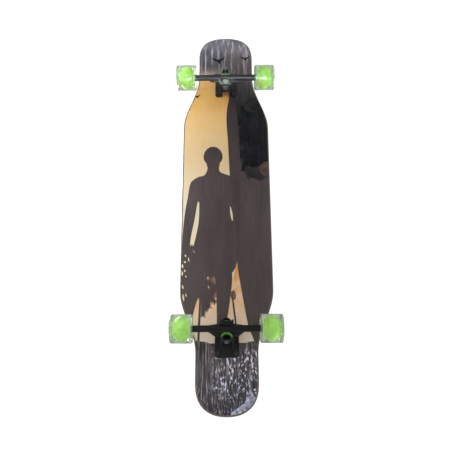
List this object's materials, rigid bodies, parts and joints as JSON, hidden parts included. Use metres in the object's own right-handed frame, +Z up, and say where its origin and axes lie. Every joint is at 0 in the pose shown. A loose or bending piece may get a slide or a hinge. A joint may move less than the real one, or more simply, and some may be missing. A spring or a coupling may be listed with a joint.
{
  "type": "longboard skateboard",
  "caption": "Twin-ended cruising longboard with narrowed necks, reverse-kingpin trucks that steer on bushings, and clear urethane wheels with coloured cores.",
  "frame": {"origin": "bottom centre of the bounding box, on the ground under the middle of the deck", "axes": "+X to the nose, +Y to the rider's left, +Z up; wheels stand on z = 0"},
  "size_m": [1.016, 0.25, 0.1168],
  "materials": {
    "printed_veneer": "gloss lacquer over a printed beach sunset",
    "maple": "satin maple ply",
    "grip": "black abrasive grip tape",
    "truck_black": "satin black paint on cast aluminium",
    "steel": "zinc plated",
    "bearing_steel": "polished",
    "bushing_green": "satin translucent urethane",
    "core_green": "gloss",
    "nut_green": "satin",
    "urethane": "clear cast urethane"
  },
  "bodies": {
    "deck": {"deck_bottom_veneer": "printed_veneer", "deck_core": "maple", "deck_top_veneer": "maple", "grip_tape": "grip", "front_baseplate": "truck_black", "front_pivot_cup": "bushing_green", "front_kingpin": "steel", "front_kingpin_nut": "steel", "front_bushing_washers": "steel", "front_roadside_bushing": "bushing_green", "front_boardside_bushing": "bushing_green", "front_mounting_bolts": "steel", "front_mounting_nuts": "nut_green", "rear_baseplate": "truck_black", "rear_pivot_cup": "bushing_green", "rear_kingpin": "steel", "rear_kingpin_nut": "steel", "rear_bushing_washers": "steel", "rear_roadside_bushing": "bushing_green", "rear_boardside_bushing": "bushing_green", "rear_mounting_bolts": "steel", "rear_mounting_nuts": "nut_green"},
    "front_hanger": {"front_hanger": "truck_black", "front_axle": "steel", "front_speed_washers": "steel", "front_left_inner_races": "bearing_steel", "front_left_bearing_balls": "bearing_steel", "front_left_bearing_spacer": "steel", "front_left_axle_nut": "steel", "front_right_inner_races": "bearing_steel", "front_right_bearing_balls": "bearing_steel", "front_right_bearing_spacer": "steel", "front_right_axle_nut": "steel"},
    "front_left_wheel": {"front_left_tyre": "urethane", "front_left_core": "core_green", "front_left_outer_races": "bearing_steel"},
    "front_right_wheel": {"front_right_tyre": "urethane", "front_right_core": "core_green", "front_right_outer_races": "bearing_steel"},
    "rear_hanger": {"rear_hanger": "truck_black", "rear_axle": "steel", "rear_speed_washers": "steel", "rear_left_inner_races": "bearing_steel", "rear_left_bearing_balls": "bearing_steel", "rear_left_bearing_spacer": "steel", "rear_left_axle_nut": "steel", "rear_right_inner_races": "bearing_steel", "rear_right_bearing_balls": "bearing_steel", "rear_right_bearing_spacer": "steel", "rear_right_axle_nut": "steel"},
    "rear_left_wheel": {"rear_left_tyre": "urethane", "rear_left_core": "core_green", "rear_left_outer_races": "bearing_steel"},
    "rear_right_wheel": {"rear_right_tyre": "urethane", "rear_right_core": "core_green", "rear_right_outer_races": "bearing_steel"}
  },
  "joints": [
    {"name": "front_steer", "type": "hinge", "parent": "deck", "child": "front_hanger", "pos_m": [0.32249, 0, 0.03646], "axis": [0.7431, 0, 0.6691], "range_deg": [-12, 12], "stiffness_Nm_per_rad": 60, "deforming": ["front_roadside_bushing", "front_boardside_bushing"]},
    {"name": "front_left_spin", "type": "hinge", "parent": "front_hanger", "child": "front_left_wheel", "pos_m": [0.3265, 0.0995, 0.032], "axis": [0, 1, 0], "continuous": true},
    {"name": "front_right_spin", "type": "hinge", "parent": "front_hanger", "child": "front_right_wheel", "pos_m": [0.3265, -0.0995, 0.032], "axis": [0, 1, 0], "continuous": true},
    {"name": "rear_steer", "type": "hinge", "parent": "deck", "child": "rear_hanger", "pos_m": [-0.32249, 0, 0.03646], "axis": [-0.7431, 0, 0.6691], "range_deg": [-12, 12], "stiffness_Nm_per_rad": 60, "deforming": ["rear_roadside_bushing", "rear_boardside_bushing"]},
    {"name": "rear_left_spin", "type": "hinge", "parent": "rear_hanger", "child": "rear_left_wheel", "pos_m": [-0.3265, 0.0995, 0.032], "axis": [0, 1, 0], "continuous": true},
    {"name": "rear_right_spin", "type": "hinge", "parent": "rear_hanger", "child": "rear_right_wheel", "pos_m": [-0.3265, -0.0995, 0.032], "axis": [0, 1, 0], "continuous": true}
  ]
}
